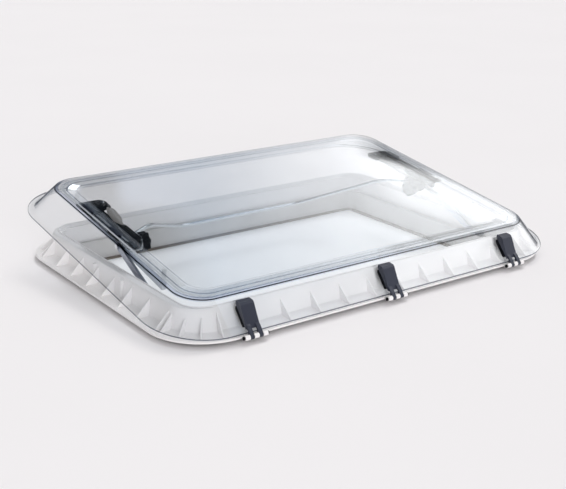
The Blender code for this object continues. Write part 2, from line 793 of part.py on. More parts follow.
pivot, (bow_y, bow_z) = GROUPS["bow"]
points = []
faces = []
normal = Vector((0, 0, 1))
for i, spot in enumerate(path):
    ahead = path[min(i + 1, len(path) - 1)] - path[max(i - 1, 0)]
    if i in (0, len(path) - 1):
        ahead = Vector((1, 0, 0))
    ahead.normalize()
    normal = (normal - ahead * normal.dot(ahead)).normalized()
    other = ahead.cross(normal)
    for k in range(BOW_SIDES):
        t = 2 * math.pi * k / BOW_SIDES
        points.append(spot + BOW_R * (normal * math.cos(t) + other * math.sin(t)))
for i in range(len(path) - 1):
    for k in range(BOW_SIDES):
        j = (k + 1) % BOW_SIDES
        faces.append((i * BOW_SIDES + k, i * BOW_SIDES + j, (i + 1) * BOW_SIDES + j, (i + 1) * BOW_SIDES + k))
faces.append(tuple(range(BOW_SIDES)))
faces.append(tuple(range((len(path) - 1) * BOW_SIDES, len(path) * BOW_SIDES)))
add("bow_tube", "bow", points, faces, STEEL)

bpy.context.view_layer.update()
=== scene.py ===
"""Looks of the deck hatch: finer meshes, materials, floor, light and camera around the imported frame.

The working numbers are millimetres measured from the underside of the roof flange, at the flange centre:
X along the hinges, +Y away from them, +Z up. The dome's pieces are drawn closed and turned to REST_OPEN.
"""

import math

import bpy
import bmesh
from mathutils import Matrix, Vector

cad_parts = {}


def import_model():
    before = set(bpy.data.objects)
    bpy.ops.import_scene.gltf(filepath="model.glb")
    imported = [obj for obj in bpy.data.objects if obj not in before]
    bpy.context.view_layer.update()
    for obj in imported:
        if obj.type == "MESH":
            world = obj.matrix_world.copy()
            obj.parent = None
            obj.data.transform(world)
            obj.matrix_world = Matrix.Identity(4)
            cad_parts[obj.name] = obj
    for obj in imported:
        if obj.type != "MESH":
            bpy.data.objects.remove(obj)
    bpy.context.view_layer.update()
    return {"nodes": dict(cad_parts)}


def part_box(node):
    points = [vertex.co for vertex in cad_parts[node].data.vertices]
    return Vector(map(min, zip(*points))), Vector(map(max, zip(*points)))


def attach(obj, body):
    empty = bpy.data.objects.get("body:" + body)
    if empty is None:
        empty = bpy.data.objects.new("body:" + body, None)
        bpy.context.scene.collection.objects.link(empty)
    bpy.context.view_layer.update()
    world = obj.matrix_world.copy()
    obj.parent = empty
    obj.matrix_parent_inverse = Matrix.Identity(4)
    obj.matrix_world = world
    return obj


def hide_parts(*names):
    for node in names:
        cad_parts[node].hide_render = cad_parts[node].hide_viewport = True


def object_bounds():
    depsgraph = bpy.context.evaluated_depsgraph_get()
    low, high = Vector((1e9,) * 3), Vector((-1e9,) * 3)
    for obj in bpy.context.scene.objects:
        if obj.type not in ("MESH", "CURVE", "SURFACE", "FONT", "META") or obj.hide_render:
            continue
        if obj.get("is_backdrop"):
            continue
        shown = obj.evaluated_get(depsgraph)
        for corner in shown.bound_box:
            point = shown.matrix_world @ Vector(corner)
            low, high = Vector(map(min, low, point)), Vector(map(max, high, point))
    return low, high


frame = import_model()
NODES = frame["nodes"]

# Driving dimensions, taken from the frame's boxes
MM = 1000.0
front_low, front_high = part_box("frame_front")
back_low, back_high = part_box("frame_back")
left_low, left_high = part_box("frame_left")
right_low, right_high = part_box("frame_right")
HW = (right_high.x - left_low.x) / 2 * MM
HD = (back_high.y - front_low.y) / 2 * MM
SHIFT_Y = (back_high.y + front_low.y) / 2 * MM
SPIGOT_BOTTOM = -28.0
FLOOR = left_low.z * MM - SPIGOT_BOTTOM
WALL_TOP = left_high.z * MM - FLOOR

GAP = 0.3
STEPS = 20
CORNER_R = 127.0
CORNER_TIGHTEN = 1.25
SMALLEST_R = 12.0
FLANGE_T = 4.5
RIB_PITCH = 76.0
RIB_T = 3.0
SEAL_T = 2.0
TRIM_BOTTOM = -45.0
TRIM_LIP_TOP = -41.5

# The dome's wall: insets from the flange edge at the sides, front and back
FOOT_Z = 9.0
FOOT_R = 124.0
FOOT_INSET = (-4.0, 1.0, 6.0)
CREASE_R = 62.0
CREASE_INSET = (48.3, 64.1, 60.8)
DROP_TIGHTEN = 0.4
DOME_TOP = 64.7
SKIN_UNDERSIDE = 61.7
LIP_BOTTOM = 7.0
LIP_TOP = 9.6
LIP_R = 131.0
LIP_INSET = (-15.0, -0.7, -5.0)
MARGIN_TOP = 61.2
MARGIN_BOTTOM = 58.7
PANE_TOP = 57.5
PANE_BOTTOM = 55.0
GUIDE_TOP = PANE_BOTTOM - GAP

HINGE_Y = -HD - 9.0
HINGE_Z = 3.6
STAY_LENGTH = 209.7
REST_OPEN = 8.79


def world(x, y, z):
    """Metres, from millimetres in the flange frame."""
    return Vector((x, y + SHIFT_Y, z + FLOOR)) / MM


HINGE = world(0, HINGE_Y, HINGE_Z)
swing = Matrix.Rotation(math.radians(REST_OPEN), 4, "X")
OPEN = Matrix.Translation(HINGE) @ swing @ Matrix.Translation(-HINGE)


# Materials
ACRYLIC_IOR = 1.49


def node(tree, kind, **inputs):
    """A shader node; a link goes in as a socket, a value as a value."""
    made = tree.nodes.new(kind)
    for name, value in inputs.items():
        socket = made.inputs[name.replace("_", " ")]
        if isinstance(value, bpy.types.NodeSocket):
            tree.links.new(value, socket)
        else:
            socket.default_value = value
    return made


def ramp(tree, fac, stops):
    """A colour ramp from pairs of place and colour."""
    made = node(tree, "ShaderNodeValToRGB", Fac=fac)
    line = made.color_ramp
    while len(line.elements) < len(stops):
        line.elements.new(0.5)
    for element, (place, color) in zip(line.elements, stops):
        element.position = place
        element.color = (*color, 1)
    return made


def blank(name):
    """A material with nothing but its output node."""
    mat = bpy.data.materials.new(name)
    mat.use_nodes = True
    tree = mat.node_tree
    tree.nodes.clear()
    out = tree.nodes.new("ShaderNodeOutputMaterial")
    return mat, tree, out


def plastic(name, color, rough, grain=900.0, bump=0.04, coat=0.0, mottle=0.04, specular=0.5, glow=0.0):
    """Moulded plastic: a fine grain in the surface, slow changes of colour and gloss."""
    mat, tree, out = blank(name)
    place = node(tree, "ShaderNodeTexCoord").outputs["Object"]
    slow = node(tree, "ShaderNodeTexNoise", Vector=place, Scale=9.0, Detail=3.0)
    fine = node(tree, "ShaderNodeTexNoise", Vector=place, Scale=grain, Detail=2.0)
    dark = tuple(c * (1 - mottle) for c in color)
    light = tuple(min(c * (1 + mottle), 1) for c in color)
    shade = ramp(tree, slow.outputs["Fac"], [(0.35, dark), (0.65, light)])
    low, high = rough - 0.06, rough + 0.06
    gloss = node(tree, "ShaderNodeMapRange", Value=fine.outputs["Fac"], To_Min=low, To_Max=high)
    height = node(tree, "ShaderNodeBump", Height=fine.outputs["Fac"], Strength=bump, Distance=0.0005)
    shader = node(
        tree,
        "ShaderNodeBsdfPrincipled",
        Base_Color=shade.outputs["Color"],
        Roughness=gloss.outputs["Result"],
        Normal=height.outputs["Normal"],
        Coat_Weight=coat,
        Coat_Roughness=0.12,
        Specular_IOR_Level=specular,
        Emission_Color=(*color, 1),
        Emission_Strength=glow,
    )
    tree.links.new(shader.outputs["BSDF"], out.inputs["Surface"])
    return mat


def metal(name, color, rough, along):
    """Brushed or drawn metal: noise stretched along one direction."""
    mat, tree, out = blank(name)
    place = node(tree, "ShaderNodeTexCoord").outputs["Object"]
    stretch = node(tree, "ShaderNodeMapping", Vector=place)
    stretch.inputs["Scale"].default_value = along
    lines = node(tree, "ShaderNodeTexNoise", Vector=stretch.outputs["Vector"], Scale=60.0, Detail=4.0)
    slow = node(tree, "ShaderNodeTexNoise", Vector=place, Scale=14.0, Detail=3.0)
    shade = ramp(tree, slow.outputs["Fac"], [(0.3, tuple(c * 0.9 for c in color)), (0.7, color)])
    low, high = rough * 0.7, rough * 1.4
    gloss = node(tree, "ShaderNodeMapRange", Value=lines.outputs["Fac"], To_Min=low, To_Max=high)
    height = node(tree, "ShaderNodeBump", Height=lines.outputs["Fac"], Strength=0.15, Distance=0.0002)
    shader = node(
        tree,
        "ShaderNodeBsdfPrincipled",
        Base_Color=shade.outputs["Color"],
        Metallic=1.0,
        Roughness=gloss.outputs["Result"],
        Normal=height.outputs["Normal"],
    )
    tree.links.new(shader.outputs["BSDF"], out.inputs["Surface"])
    return mat


def acrylic(name, clear, edge, edge_from=0.72, edge_to=0.97, far=None):
    """Clear sheet as thin glass: light passes straight through, darker where it is seen edge-on.

    With far, the tint runs from clear on the left to far on the right, by place on the object: a painted
    reflection, lighter on the right.
    """
    mat, tree, out = blank(name)
    facing = node(tree, "ShaderNodeLayerWeight", Blend=0.5)
    place = node(tree, "ShaderNodeTexCoord").outputs["Object"]
    if far:
        at = node(tree, "ShaderNodeSeparateXYZ", Vector=place).outputs["X"]
        # Painted reflection: the tint lightens from left to right by place, standing for the brighter
        # reflections on the right.
        painted_reflection_fade = node(tree, "ShaderNodeMapRange", Value=at, From_Min=-0.35, From_Max=0.25)
        tint = ramp(tree, painted_reflection_fade.outputs["Result"], [(0.0, clear), (1.0, far)])
    else:
        slow = node(tree, "ShaderNodeTexNoise", Vector=place, Scale=5.0, Detail=2.0)
        paler = tuple(min(c * 1.015, 1) for c in clear)
        tint = ramp(tree, slow.outputs["Fac"], [(0.3, clear), (0.7, paler)])
    shade = ramp(tree, facing.outputs["Facing"], [(edge_from, (1, 1, 1)), (edge_to, edge)])
    both = tree.nodes.new("ShaderNodeVectorMath")
    both.operation = "MULTIPLY"
    tree.links.new(tint.outputs["Color"], both.inputs[0])
    tree.links.new(shade.outputs["Color"], both.inputs[1])
    through = node(tree, "ShaderNodeBsdfTransparent", Color=both.outputs["Vector"])
    shine = node(tree, "ShaderNodeBsdfGlossy", Color=(1, 1, 1, 1), Roughness=0.03)
    steep = tree.nodes.new("ShaderNodeMath")
    steep.operation = "POWER"
    tree.links.new(facing.outputs["Facing"], steep.inputs[0])
    steep.inputs[1].default_value = 5.0
    head_on = ((ACRYLIC_IOR - 1) / (ACRYLIC_IOR + 1)) ** 2
    schlick = node(tree, "ShaderNodeMapRange", Value=steep.outputs["Value"], To_Min=head_on, To_Max=1.0)
    mix = node(tree, "ShaderNodeMixShader", Fac=schlick.outputs["Result"])
    tree.links.new(through.outputs["BSDF"], mix.inputs[1])
    tree.links.new(shine.outputs["BSDF"], mix.inputs[2])
    tree.links.new(mix.outputs["Shader"], out.inputs["Surface"])
    return mat


WHITE = plastic("white_moulded", (0.90, 0.88, 0.882), 0.34, bump=0.04, mottle=0.015)
BEIGE = plastic("grey_beige_moulded", (0.66, 0.645, 0.635), 0.5)
# Painted shade: the trim's lip at the foot of the well is drawn dark brown, standing for the band seen in
# shade.
LIP_SHADE = plastic("brown_grey_lip_painted_shade", (0.17, 0.14, 0.115), 0.5)
SLATE = plastic(
    "slate_moulded", (0.033, 0.037, 0.056), 0.40, grain=1400.0, bump=0.10, coat=0.1, mottle=0.10, specular=0.3
)
LEVER = plastic("grey_brown_lever", (0.40, 0.375, 0.36), 0.40, grain=1400.0)
STRIP = plastic("grey_guide_strip", (0.26, 0.27, 0.29), 0.30, grain=1400.0)
BLACK = plastic(
    "black_moulded", (0.006, 0.007, 0.009), 0.34, grain=1400.0, bump=0.10, mottle=0.15, specular=0.05
)
RUBBER = plastic("black_rubber_skin", (0.015, 0.015, 0.016), 0.75, grain=700.0, bump=0.2)
STEEL = metal("satin_steel_drawn", (0.72, 0.74, 0.76), 0.22, (0.4, 12.0, 12.0))
PLATE = metal("brushed_steel_plate", (0.66, 0.68, 0.70), 0.28, (14.0, 0.6, 14.0))
ALLOY = metal("pale_alloy_drawn", (0.78, 0.79, 0.81), 0.36, (12.0, 0.4, 12.0))
CLEAR = acrylic("clear_acrylic_sheet", (0.972, 0.980, 0.986), (0.30, 0.34, 0.40))
# Painted reflection: the bent bands carry a darker blue-grey tint than the clear sheet, drawn as lines that
# stand for reflections at the bends, lighter towards the right.
BENT_EDGE_REFLECTION = acrylic(
    "acrylic_bent_edge_painted_reflection", (0.78, 0.81, 0.87), (0.42, 0.455, 0.51), edge_from=0.5, far=(0.88, 0.90, 0.92)
)
# Painted dark reflection: dark vertical stripes on the dome's wall at the back left and front right corners.
CORNER_DARK_REFLECTION = acrylic("acrylic_corner_painted_dark_reflection", (0.93, 0.94, 0.96), (0.16, 0.175, 0.20), edge_from=0.5, edge_to=0.8)
# Painted dark reflection: the crease band is tinted nearly black as a dark line, and lightens towards the
# right.
CREASE_DARK_REFLECTION = acrylic(
    "acrylic_crease_painted_dark_reflection", (0.03, 0.035, 0.05), (0.4, 0.4, 0.4), edge_from=0.6, far=(0.20, 0.205, 0.215)
)
# The lip's cut edge is tinted dark as a thin line: partly the acrylic's edge, partly a painted shadow above
# the flange.
CUT_RIM_SHADOW = acrylic("acrylic_cut_rim_painted_shadow", (0.20, 0.22, 0.27), (0.06, 0.07, 0.09), edge_from=0.4)
# Painted highlight: a pale opaque band on the pane's margin that stands for a thin white reflection line.
PALE_HIGHLIGHT_BAND = plastic("pale_band_painted_highlight", (0.60, 0.62, 0.66), 0.25, coat=0.5, bump=0.0, mottle=0.02)
# Painted highlight: a self-lit white patch on the pane's back left corner that stands for a glint; it glows
# though it is no lamp.
GLINT = plastic("white_corner_painted_glint", (0.92, 0.94, 0.97), 0.2, coat=0.5, bump=0.0, mottle=0.02, glow=1.0)
STRUT = metal("blue_grey_alloy", (0.46, 0.48, 0.54), 0.36, (12.0, 0.4, 12.0))
POST = plastic("pale_post", (0.84, 0.85, 0.87), 0.35, mottle=0.02)
PALE = plastic("pale_grey_finish", (0.66, 0.68, 0.72), 0.35, mottle=0.03)
# Painted reflection: a flat blue-grey band on the pane's margin, with no groove in its shape, drawn as a dark
# line.
REFLECTION_LINE_TINT = acrylic("acrylic_painted_reflection_line", (0.50, 0.54, 0.60), (0.25, 0.29, 0.35), edge_from=0.6)


# Mesh helpers
def mesh_from(name, points, faces):
    """A mesh from millimetre points, with its faces pointing out."""
    mesh = bpy.data.meshes.new(name)
    mesh.from_pydata([world(*p) for p in points], [], faces)
    work = bmesh.new()
    work.from_mesh(mesh)
    bmesh.ops.recalc_face_normals(work, faces=work.faces)
    work.to_mesh(mesh)
    work.free()
    return mesh


def add(name, points, faces, finishes, body, slot, opened=False):
    """A piece riding on a body; finishes is one material, or a material for each face."""
    mesh = mesh_from(name, points, faces)
    if opened:
        mesh.transform(OPEN)
    if not isinstance(finishes, list):
        finishes = [finishes] * len(faces)
    kinds = list(dict.fromkeys(finishes))
    for mat in kinds:
        mesh.materials.append(mat)
    for face, mat in zip(mesh.polygons, finishes):
        face.material_index = kinds.index(mat)
        face.use_smooth = True
    obj = bpy.data.objects.new(name, mesh)
    bpy.context.scene.collection.objects.link(obj)
    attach(obj, body)
    return obj


def bevel(obj, width, angle=35.0, weld=False):
    """Rounds the edges sharper than angle; weld first joins points that coincide."""
    if weld:
        joined = obj.modifiers.new("weld", "WELD")
        joined.merge_threshold = 0.00002
    soft = obj.modifiers.new("bevel", "BEVEL")
    soft.width = width / MM
    soft.segments = 2
    soft.limit_method = "ANGLE"
    soft.angle_limit = math.radians(angle)
    soft.harden_normals = True


def cut(obj, data):
    """Takes boxes out of a piece."""
    tool = bpy.data.objects.new("cutter", mesh_from("cutter", *data))
    bpy.context.scene.collection.objects.link(tool)
    step = obj.modifiers.new("notch", "BOOLEAN")
    step.object = tool
    step.operation = "DIFFERENCE"
    step.solver = "EXACT"
    step.material_mode = "TRANSFER"
    solid = obj.evaluated_get(bpy.context.evaluated_depsgraph_get())
    obj.data = bpy.data.meshes.new_from_object(solid)
    obj.modifiers.remove(step)
    bpy.data.objects.remove(tool)


def outline(side, front, back, radius, z):
    """A rounded rectangle at height z, inset from the flange edge on each side."""
    points = []
    x1, y0, y1 = HW - side, -HD + front, HD - back
    radius = max(radius, 1.0)
    for cx, cy, start in (
        (x1 - radius, y1 - radius, 0),
        (-x1 + radius, y1 - radius, 90),
        (-x1 + radius, y0 + radius, 180),
        (x1 - radius, y0 + radius, 270),
    ):
        for i in range(STEPS + 1):
            a = math.radians(start + 90 * i / STEPS)
            points.append((cx + radius * math.cos(a), cy + radius * math.sin(a), z))
    return points


def frame_radius(inset):
    """Corner radius of the frames, tighter further in."""
    return max(CORNER_R - CORNER_TIGHTEN * inset, SMALLEST_R)


def uneven(side, ends, z):
    """A frame outline inset by one amount at the sides and another at front and back."""
    return outline(side, ends, ends, frame_radius((side + ends) / 2), z)


def even(inset, z):
    """A frame outline with the same inset all round."""
    return uneven(inset, inset, z)


def loft_data(loops, ring):
    """Points and faces between each loop and the next; bands gives the loop number of each face."""
    count = len(loops[0])
    points = [p for loop in loops for p in loop]
    faces = []
    bands = []
    pairs = len(loops) if ring else len(loops) - 1
    for k in range(pairs):
        a, b = k * count, ((k + 1) % len(loops)) * count
        for i in range(count):
            j = (i + 1) % count
            faces.append((a + i, a + j, b + j, b + i))
            bands.append(k)
    if not ring:
        faces.append(tuple(range(count)))
        faces.append(tuple(range((len(loops) - 1) * count, len(loops) * count)))
        bands += [-1, -1]
    return points, faces, bands


def push_faces(n):
    """Faces of a prism whose two ends have n points each."""
    faces = [(i, (i + 1) % n, n + (i + 1) % n, n + i) for i in range(n)]
    return faces + [tuple(range(n)), tuple(range(n, 2 * n))]


def gather(pieces):
    """Several point-and-face sets as one."""
    points, faces = [], []
    for some, these in pieces:
        start = len(points)
        points += some
        faces += [tuple(start + i for i in face) for face in these]
    return points, faces


def rib_data(foot, direction, along, reach, outline_sz):
    """A rib whose outline runs from foot in direction; along is the way of its thickness."""
    points = []
    for offset in (-RIB_T / 2, RIB_T / 2):
        for s, z in outline_sz:
            x = foot[0] + direction[0] * s * reach + along[0] * offset
            y = foot[1] + direction[1] * s * reach + along[1] * offset
            points.append((x, y, z))
    return points, push_faces(len(outline_sz))


def box_data(x0, x1, y0, y1, z0, z1):
    """A box between two corners."""
    plan = [(x0, y0), (x1, y0), (x1, y1), (x0, y1)]
    return [(x, y, z) for z in (z0, z1) for x, y in plan], push_faces(4)


# Roof frame with its ribs and bosses, one moulding
ring_points, ring_faces, _ = loft_data(
    [
        even(0, 0),
        even(0, 3.2),
        even(1.4, FLANGE_T),
        uneven(35, 38, FLANGE_T + 0.8),
        uneven(39, 43, 8),
        uneven(43.5, 51, 44),
        uneven(46, 56.5, 51.5),
        uneven(47.0, 57.4, 53.0),
        uneven(49, 58.5, WALL_TOP),
        uneven(61.6, 61.6, WALL_TOP),
        uneven(62.4, 62.4, WALL_TOP - 0.8),
        uneven(63, 63, 46),
        uneven(68, 68, 46),
        uneven(68.5, 68.5, SPIGOT_BOTTOM),
        uneven(64.5, 64.5, SPIGOT_BOTTOM),
        uneven(62, 62, 0),
    ],
    ring=True,
)
SIDE_RIBS, END_RIBS = 8, 10
CORNER_RIB_DEGREES = (12, 34, 56, 78)
BOSS_YS = (-72.0, 54.0)
rib_side = [(7, 3), (7, 4.6), (45, 45), (48, 45), (48, 3)]
rib_end = [(8, 3), (8, 4.6), (52, 41), (56, 41), (56, 3)]
mouldings = [(ring_points, ring_faces)]
for k in range(SIDE_RIBS):
    y = (k - (SIDE_RIBS - 1) / 2) * RIB_PITCH
    for side in (-1, 1):
        mouldings.append(rib_data((side * HW, y), (-side, 0), (0, 1), 1.0, rib_side))
for k in range(END_RIBS):
    x = (k - (END_RIBS - 1) / 2) * RIB_PITCH
    for side in (-1, 1):
        mouldings.append(rib_data((x, side * HD), (0, -side), (1, 0), 1.0, rib_end))
for sx in (-1, 1):
    for sy in (-1, 1):
        for degrees in CORNER_RIB_DEGREES:
            a = math.radians(degrees)
            out = (sx * math.cos(a), sy * math.sin(a))
            foot = (sx * (HW - CORNER_R) + CORNER_R * out[0], sy * (HD - CORNER_R) + CORNER_R * out[1])
            reach = 1.0 + 0.16 * math.sin(2 * a)
            mouldings.append(rib_data(foot, (-out[0], -out[1]), (-out[1], out[0]), reach, rib_side))
for side in (-1, 1):
    for y in BOSS_YS:
        x0, x1 = sorted((side * (HW - 46), side * (HW - 36)))
        mouldings.append(box_data(x0, x1, y - 5, y + 5, 5.5, 46))
roof_frame = add("roof_frame", *gather(mouldings), WHITE, "frame", "white_plastic")
bevel(roof_frame, 0.7)
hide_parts("frame_front", "frame_back", "frame_left", "frame_right")

# Inner trim frame
trim_points, trim_faces, trim_bands = loft_data(
    [
        uneven(69.2, 69.2, 2),
        uneven(69.2, 69.2, 5),
        uneven(83, 78, 5),
        uneven(84.2, 79.2, 3.8),
        uneven(91, 84, TRIM_LIP_TOP),
        uneven(103, 94, TRIM_LIP_TOP - 0.5),
        uneven(103, 94, TRIM_BOTTOM),
        even(22, TRIM_BOTTOM),
        even(20, TRIM_BOTTOM + 1.5),
        even(20, TRIM_LIP_TOP),
        uneven(86.5, 80.5, TRIM_LIP_TOP),
        uneven(81, 76, 2),
    ],
    ring=True,
)
lip_bands = (4, 5, 6)
finishes = [LIP_SHADE if band in lip_bands else BEIGE for band in trim_bands]
trim = add("trim_moulding", trim_points, trim_faces, finishes, "frame", "beige_plastic")
# Notches that clear the stays' pivot brackets
notches = []
pivot_y = HINGE_Y + STAY_LENGTH
for side in (-1, 1):
    x0, x1 = sorted((side * 446.6, side * 470.0))
    notches.append(box_data(x0, x1, pivot_y - 24, pivot_y + 100, -12, 9))
cut(trim, gather(notches))
bevel(trim, 0.5)
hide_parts("trim_front", "trim_back", "trim_left", "trim_right")

# Seals
seal_points, seal_faces, _ = loft_data(
    [even(12, -SEAL_T), even(12, -GAP), even(50, -GAP), even(50, -SEAL_T)], ring=True
)
seal = add("bedding_seal", seal_points, seal_faces, RUBBER, "frame", "black_rubber")
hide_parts("roof_seal")
seal_points, seal_faces, _ = loft_data(
    [
        uneven(59.5, 59.6, WALL_TOP + GAP),
        uneven(59.5, 59.6, WALL_TOP + 1.6),
        uneven(60.0, 60.1, WALL_TOP + 2.3),
        uneven(60.5, 60.6, WALL_TOP + 2.6),
        uneven(61.4, 61.4, WALL_TOP + 2.3),
        uneven(62, 62, WALL_TOP + 1.6),
        uneven(62, 62, WALL_TOP + GAP),
    ],
    ring=True,
)
seal = add("rim_seal", seal_points, seal_faces, WHITE, "frame", "white_plastic")
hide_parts("dome_seal")


# Dome
def dome_loop(t, drop, z=None):
    """A loop on the dome's sloped wall: t 0 at the foot, 1 at the crease; drop is the inward offset."""
    if z is None:
        z = FOOT_Z + t * (DOME_TOP - FOOT_Z)
    radius = FOOT_R + t * (CREASE_R - FOOT_R) - drop * DROP_TIGHTEN
    insets = [foot + t * (crease - foot) + drop for foot, crease in zip(FOOT_INSET, CREASE_INSET)]
    return outline(*insets, radius, z)


def lip(trimmed, z):
    """A loop on the lip's outer edge, trimmed back a little."""
    side, front, back = LIP_INSET
    return outline(side + trimmed, front + trimmed, back + trimmed, LIP_R - trimmed, z)


# Bands that carry painted light in some corners, as (corner, step) pairs: a painted dark reflection on the
# wall, and a self-lit painted glint on the pane's margin.
# Corners count from back right, anticlockwise: 1 is back left, 3 is front right.
WALL_BAND = 12
CORNER_DARK_REFLECTION_SPOTS = [(1, 12), (1, 13), (3, 7), (3, 8), (3, 9)]
MARGIN_BAND = 10
GLINT_SPOTS = [(1, step) for step in range(6, 14)]

outer_loops = [
    (dome_loop(1.0, 9.0, SKIN_UNDERSIDE), CLEAR),
    (dome_loop(1.0, 5.0, SKIN_UNDERSIDE), BENT_EDGE_REFLECTION),
    (dome_loop(0.965, 2.6, 60.4), BENT_EDGE_REFLECTION),
    (dome_loop(0.93, 1.6, 58.2), CLEAR),
    (dome_loop(0.07, 1.6, 10.3), CLEAR),
    (dome_loop(0.02, 1.6, LIP_BOTTOM), CLEAR),
    (lip(0.6, LIP_BOTTOM), CUT_RIM_SHADOW),
    (lip(0.0, LIP_BOTTOM + 0.6), CUT_RIM_SHADOW),
    (lip(0.0, LIP_TOP - 0.6), CUT_RIM_SHADOW),
    (lip(0.6, LIP_TOP), CLEAR),
    (dome_loop(0.0, -1.6, LIP_TOP), CLEAR),
    (dome_loop(0.0, -0.2, 9.9), CLEAR),
    (dome_loop(0.05, 0.0), CLEAR),
    (dome_loop(0.945, 0.0), CREASE_DARK_REFLECTION),
    (dome_loop(0.98, 0.5, 63.2), BENT_EDGE_REFLECTION),
    (dome_loop(1.0, 1.8, 64.2), BENT_EDGE_REFLECTION),
    (dome_loop(1.0, 3.4, 64.6), BENT_EDGE_REFLECTION),
    (dome_loop(1.0, 5.5, DOME_TOP), CLEAR),
    (dome_loop(1.0, 9.0, DOME_TOP), CLEAR),
]
points, faces, bands = loft_data([loop for loop, _ in outer_loops], ring=False)
finishes = [CLEAR if band < 0 else outer_loops[band][1] for band in bands]
for face, band in enumerate(bands):
    corner, step = divmod(face % len(outer_loops[0][0]), STEPS + 1)
    if band == WALL_BAND and (corner, step) in CORNER_DARK_REFLECTION_SPOTS:
        finishes[face] = CORNER_DARK_REFLECTION
outer = add("outer_skin", points, faces, finishes, "dome", "clear_acrylic", opened=True)
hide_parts("dome_outer")

inner_loops = [
    (dome_loop(1.0, 46.0, PANE_BOTTOM), CLEAR),
    (dome_loop(1.0, 43.5, PANE_BOTTOM), CLEAR),
    (dome_loop(1.0, 39.0, MARGIN_BOTTOM), CLEAR),
    (dome_loop(1.0, 9.6, MARGIN_BOTTOM), BENT_EDGE_REFLECTION),
    (dome_loop(1.0, 9.0, 59.3), BENT_EDGE_REFLECTION),
    (dome_loop(1.0, 9.0, 60.6), BENT_EDGE_REFLECTION),
    (dome_loop(1.0, 9.6, MARGIN_TOP), CLEAR),
    (dome_loop(1.0, 13.0, MARGIN_TOP), PALE_HIGHLIGHT_BAND),
    (dome_loop(1.0, 17.5, MARGIN_TOP), CLEAR),
    (dome_loop(1.0, 20.5, MARGIN_TOP), REFLECTION_LINE_TINT),
    (dome_loop(1.0, 24.0, MARGIN_TOP), CLEAR),
    (dome_loop(1.0, 40.4, MARGIN_TOP), BENT_EDGE_REFLECTION),
    (dome_loop(1.0, 41.6, 60.7), CLEAR),
    (dome_loop(1.0, 44.8, 58.1), BENT_EDGE_REFLECTION),
    (dome_loop(1.0, 46.2, PANE_TOP), CLEAR),
    (dome_loop(1.0, 49.0, PANE_TOP), CLEAR),
]
points, faces, bands = loft_data([loop for loop, _ in inner_loops], ring=False)
finishes = [CLEAR if band < 0 else inner_loops[band][1] for band in bands]
for face, band in enumerate(bands):
    corner, step = divmod(face % len(inner_loops[0][0]), STEPS + 1)
    # Painted highlight: the self-lit glint patch goes on the margin band in the back left corner.
    if band == MARGIN_BAND and (corner, step) in GLINT_SPOTS:
        finishes[face] = GLINT
inner = add("inner_pane", points, faces, finishes, "dome", "clear_acrylic", opened=True)
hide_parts("dome_inner")

# Details on top of the guide plates: a guide strip along the outer edge and a catch lever
STRIP_INNER, STRIP_OUTER = 446.4, 451.6
STRIP_FRONT, STRIP_BACK = -18.0, 130.0
lever_plan = [(431, 84), (420, 58), (404, 96), (398, 146), (409, 160), (422, 134)]
low, high = GUIDE_TOP + 0.02, GUIDE_TOP + 0.22
for name, side in (("left", -1), ("right", 1)):
    x0, x1 = sorted((side * STRIP_INNER, side * STRIP_OUTER))
    strip = box_data(x0, x1, STRIP_FRONT, STRIP_BACK, low, high)
    add(f"{name}_guide_strip", *strip, STRIP, "dome", "grey_aluminium", opened=True)
    points = [(side * x, y, z) for z in (low, high) for x, y in lever_plan]
    lever_faces = push_faces(len(lever_plan))
    add(f"{name}_catch_lever", points, lever_faces, LEVER, "dome", "grey_aluminium", opened=True)

# CAD nodes that keep their shape: a finish, and a bevel's width
FINISH = {
    "hinge_arm": (SLATE, 1.6),
    "hinge_base": (WHITE, 0.5),
    "hinge_pin": (BLACK, 0.3),
    "hinge_plate": (BLACK, 0.6),
    "clamp_screw": (STEEL, 0.2),
    "clamp": (ALLOY, 0.4),
    "guide_plate": (BLACK, 0.5),
    "guide_rail": (PALE, 0.5),
    "rail_post": (POST, 0.0),
    "cap_back": (SLATE, 1.2),
    "cap_front": (SLATE, 1.2),
    "pad_screw": (STEEL, 0.3),
    "slider": (BLACK, 1.0),
    "clamp_stud": (STEEL, 0.3),
    "knob": (BLACK, 1.5),
    "stay_arm": (STRUT, 0.8),
    "pivot_bracket": (PLATE, 0.3),
    "pivot_pin": (STEEL, 0.3),
    "bow_plate": (PLATE, 0.3),
    "bow_tube": (STEEL, 0.0),
}
for name, obj in NODES.items():
    if obj.hide_render:
        continue
    key = max((k for k in FINISH if k in name), key=len)
    mat, width = FINISH[key]
    for held in obj.material_slots:
        held.material = mat
    if width:
        bevel(obj, width, 40.0, weld=True)


# Floor: the roof's skin around the spigot, and a pale surface below the opening
def matt_paint(name, dark, light, glow=0.0):
    """Matt paint with slow changes of colour; glow stands for daylight from below."""
    mat, tree, out = blank(name)
    place = node(tree, "ShaderNodeTexCoord").outputs["Object"]
    slow = node(tree, "ShaderNodeTexNoise", Vector=place, Scale=1.5, Detail=2.0)
    shade = ramp(tree, slow.outputs["Fac"], [(0.3, dark), (0.7, light)])
    matt = node(tree, "ShaderNodeBsdfDiffuse", Color=shade.outputs["Color"])
    shine = node(tree, "ShaderNodeEmission", Color=(0.94, 0.97, 1.0, 1), Strength=glow)
    both = node(tree, "ShaderNodeAddShader")
    tree.links.new(matt.outputs["BSDF"], both.inputs[0])
    tree.links.new(shine.outputs["Emission"], both.inputs[1])
    tree.links.new(both.outputs["Shader"], out.inputs["Surface"])
    return mat


